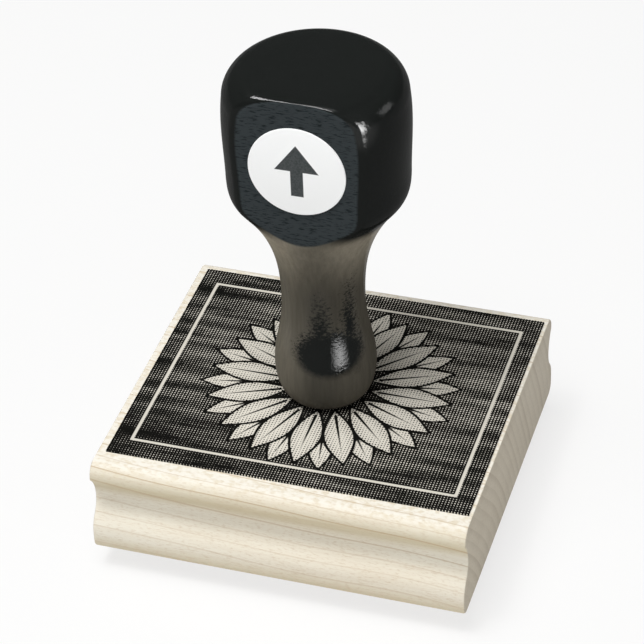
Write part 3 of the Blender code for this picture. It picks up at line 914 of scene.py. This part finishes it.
def rounded_rows(low, high, radius, step):
    """Rows of y across a rounded rectangle and the half width of each, closer together at the corners."""
    count = int((high.y - low.y - 2 * radius) / step)
    turn = np.linspace(0.0, math.pi / 2, CORNER_STEPS)
    end = high.y - radius + radius * np.sin(turn)
    middle = np.linspace(low.y + radius, high.y - radius, count)[1:-1]
    rows = np.concatenate((-end[::-1], middle, end))
    over = np.clip(np.abs(rows) - (high.y - radius), 0.0, radius)
    return rows, high.x - radius + np.sqrt(np.maximum(radius**2 - over**2, 0.0))


class STAMP_OT_mounting_foam(Operator):
    """Mounting foam: the side's swollen profile carried round a rounded rectangle."""

    bl_idname = "stamp.mounting_foam"
    bl_label = "Mounting foam"

    def execute(self, context):
        sizes = context.scene.stamp_sizes
        radius = corner_radius(node_points("mounting_foam"), FOAM_HIGH)
        turn = np.linspace(0.0, math.pi / 2, CORNER_STEPS)
        quarter = np.column_stack((np.cos(turn), np.sin(turn)))
        corners = []
        for side, end in ((1, 1), (-1, 1), (-1, -1), (1, -1)):
            points = quarter if side * end > 0 else quarter[::-1]
            corners.append(np.column_stack((points * (side, end), np.full((CORNER_STEPS, 2), (side, end)))))
        path = np.vstack(corners)
        path = np.vstack((path, path[:1]))
        centre = path[:, 2:] * (FOAM_HIGH.x - radius, FOAM_HIGH.y - radius)
        low, high = DIE_HIGH.z + TOUCH, BLOCK_LOW.z - TOUCH
        rise = np.linspace(0.0, 1.0, EASE_STEPS * 2 - 1)
        swell = radius - sizes.foam_bulge * (1.0 - np.sin(math.pi * rise))
        flat = centre + path[:, :2] * swell[:, None, None]
        height = np.broadcast_to((low + (high - low) * rise)[:, None, None], (len(rise), len(path), 1))
        grid = np.concatenate((flat, height), axis=-1)
        material = closed_cell_foam(context.scene.stamp_colours)
        piece = make_piece("foam_pad", [grid], material, "mounting_foam")
        return {"FINISHED"}


class STAMP_OT_rubber_die(Operator):
    """Engraved rubber die, a height field with its design sunk into the printing face.

    The face lies at the bottom, and height = depth * smooth_step(reach into the bare paper / slope).
    """

    bl_idname = "stamp.rubber_die"
    bl_label = "Rubber die"

    def execute(self, context):
        sizes = context.scene.stamp_sizes
        radius = corner_radius(node_points("rubber_die"), DIE_HIGH)
        rows, half_width = rounded_rows(DIE_LOW, DIE_HIGH, radius, DIE_STEP)
        columns = int((DIE_HIGH.x - DIE_LOW.x) / DIE_STEP)
        x, y = grid_on(half_width, rows, columns)
        petal, line, border, _ = artwork(x, y, sizes)
        bare = np.maximum(np.minimum(petal, -line), border)
        height = DIE_LOW.z + sizes.relief_depth * smooth_step(bare / RELIEF_SLOPE)
        face = np.stack((x, y, height), axis=-1)
        side = wall(rim_of(face), DIE_HIGH.z)
        material = red_rubber(context.scene.stamp_colours, sizes)
        piece = make_piece("engraved_die", [face, side], material, "rubber_die")
        store_artwork(piece.data, sizes)
        return {"FINISHED"}


class STAMP_OT_screw(Operator):
    """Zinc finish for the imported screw, whose own shape is kept."""

    bl_idname = "stamp.screw"
    bl_label = "Screw finish"

    def execute(self, context):
        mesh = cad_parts["handle_screw"].data
        mesh.materials.clear()
        mesh.materials.append(zinc_plate(context.scene.stamp_colours))
        return {"FINISHED"}


def floor_material(colour):
    """Matt white card that takes the stamp's shadow and is lifted towards white where it is seen.

    The lift counts for rays from the camera and for those that gloss or glass sends on.
    """
    material = bpy.data.materials.new("white_card")
    material.use_nodes = True
    material.node_tree.nodes.clear()
    node = partial(add, material.node_tree)
    seen = 0.0
    for kind in ("Camera", "Glossy", "Transmission"):
        ray = node("LightPath", (), f"Is {kind} Ray")
        seen = node("Math.MAXIMUM", (seen, ray))
    share = node("Math.MULTIPLY", (seen, FLOOR_LIFT))
    card = node("BsdfDiffuse", {"Color": colour})
    white = node("Emission", {"Color": WHITE, "Strength": 1.0})
    surface = node("MixShader", (share, card, white))
    node("OutputMaterial", {"Surface": surface})
    return material


def glint_receivers():
    """Collection of the pieces that the glints fall on, made at its first use."""
    name = "glint_receivers"
    return bpy.data.collections.get(name) or bpy.data.collections.new(name)


def add_softbox(name, place, aim, width, height, watts, spread=None, in_gloss=True):
    """Rectangular area light at a place, facing an aim point.

    One with a spread in degrees is a glint: it keeps to that beam and shows in gloss alone. A fill is the
    opposite and doesn't show in gloss.
    """
    light = bpy.data.lights.new(name, "AREA")
    light.shape = "RECTANGLE"
    light.size = width
    light.size_y = height
    light.energy = watts
    lamp = bpy.data.objects.new(name, light)
    lamp.location = place
    lamp.rotation_euler = (Vector(aim) - Vector(place)).to_track_quat("-Z", "Y").to_euler()
    if spread:
        light.spread = math.radians(spread)
        lamp.visible_diffuse = False
        lamp.light_linking.receiver_collection = glint_receivers()
    lamp.visible_glossy = in_gloss
    bpy.context.scene.collection.objects.link(lamp)


class STAMP_OT_stage(Operator):
    """Floor, soft lights, world and the photograph's camera."""

    bl_idname = "stamp.stage"
    bl_label = "Stage"

    def execute(self, context):
        scene = context.scene
        scene.view_settings.view_transform = "Standard"
        edge = np.linspace(-FLOOR_REACH, FLOOR_REACH, 3)
        x, y = np.meshgrid(edge, edge, indexing="ij")
        grid = np.stack((x, y, np.full(x.shape, CAD_BOX[0].z - TOUCH)), axis=-1)
        mesh = grid_mesh("floor", [grid])
        mesh.materials.append(floor_material(scene.stamp_colours.floor))
        floor = bpy.data.objects.new("floor", mesh)
        scene.collection.objects.link(floor)
        # Places, widths and heights in metres, power in watts, beams in degrees
        aim = (0.0, 0.0, 0.04)
        add_softbox("key_softbox", (-0.13, -0.18, 0.87), aim, 0.5, 0.5, 6.2)
        add_softbox("key_core", (-0.16, -0.22, 0.82), aim, 0.12, 0.12, 1.1)
        add_softbox("side_strip", (0.46, -0.30, 0.13), aim, 0.04, 0.2, 0.4)
        add_softbox("front_fill", (0.1, -0.9, 0.25), aim, 0.8, 0.5, 0.7, in_gloss=False)
        foot, corner = (0.004, -0.007, 0.038), (0.011, -0.011, 0.09)
        shoulder = (0.014, -0.006, 0.092)
        add_softbox("low_glint", (0.064, -0.056, 0.018), foot, 0.056, 0.015, 0.0072, spread=40.0)
        add_softbox("edge_glint", (-0.24, -0.20, 0.76), corner, 1.1, 0.17, 48.0, spread=179.0)
        add_softbox("corner_glint", (0.19, -0.105, 0.088), corner, 0.09, 0.18, 0.2, spread=60.0)
        add_softbox("shoulder_glint", (0.48, 0.16, 0.22), shoulder, 0.18, 0.16, 0.09, spread=60.0)
        world = bpy.data.worlds.new("studio")
        world.use_nodes = True
        background = world.node_tree.nodes["Background"]
        fill(background, {"Color": WHITE, "Strength": WORLD_STRENGTH})
        scene.world = world
        camera = bpy.data.cameras.new("camera")
        camera.lens = CAMERA_LENS
        camera.sensor_width = CAMERA_SENSOR
        turn = Euler((math.pi / 2 - CAMERA_ELEVATION, 0.0, CAMERA_AZIMUTH)).to_matrix()
        turn = turn @ Matrix.Rotation(CAMERA_ROLL, 3, "Z")
        viewpoint = bpy.data.objects.new("camera", camera)
        place = CAMERA_AIM + turn.col[2] * CAMERA_DISTANCE
        viewpoint.matrix_world = Matrix.Translation(place) @ turn.to_4x4()
        scene.collection.objects.link(viewpoint)
        scene.camera = viewpoint
        return {"FINISHED"}


class STAMP_PT_sidebar(Panel):
    """Sidebar list of the stamp's pieces, sizes and colours."""

    bl_idname = "STAMP_PT_sidebar"
    bl_label = "Rubber stamp"
    bl_space_type = "VIEW_3D"
    bl_region_type = "UI"
    bl_category = "Stamp"

    def draw(self, context):
        for operator in OPERATORS:
            self.layout.operator(operator.bl_idname)
        for group in (context.scene.stamp_sizes, context.scene.stamp_colours):
            box = self.layout.box()
            for name in group.__annotations__:
                box.prop(group, name)


OPERATORS = (
    STAMP_OT_stage,
    STAMP_OT_maple_block,
    STAMP_OT_printed_sheet,
    STAMP_OT_handle,
    STAMP_OT_front_mark,
    STAMP_OT_screw,
    STAMP_OT_mounting_foam,
    STAMP_OT_rubber_die,
)
CLASSES = (StampSizes, StampColours, *OPERATORS, STAMP_PT_sidebar)


def register():
    """Register the classes and hang the two property groups on the scene."""
    for cls in CLASSES:
        bpy.utils.register_class(cls)
    bpy.types.Scene.stamp_sizes = PointerProperty(type=StampSizes)
    bpy.types.Scene.stamp_colours = PointerProperty(type=StampColours)


def unregister():
    """Take the property groups off the scene and unregister the classes."""
    del bpy.types.Scene.stamp_colours
    del bpy.types.Scene.stamp_sizes
    for cls in reversed(CLASSES):
        bpy.utils.unregister_class(cls)


def main():
    """Make every piece in order."""
    register()
    bpy.ops.stamp.stage()
    bpy.ops.stamp.maple_block()
    bpy.ops.stamp.printed_sheet()
    bpy.ops.stamp.handle()
    bpy.ops.stamp.front_mark()
    bpy.ops.stamp.screw()
    bpy.ops.stamp.mounting_foam()
    bpy.ops.stamp.rubber_die()


if __name__ == "__main__":
    main()
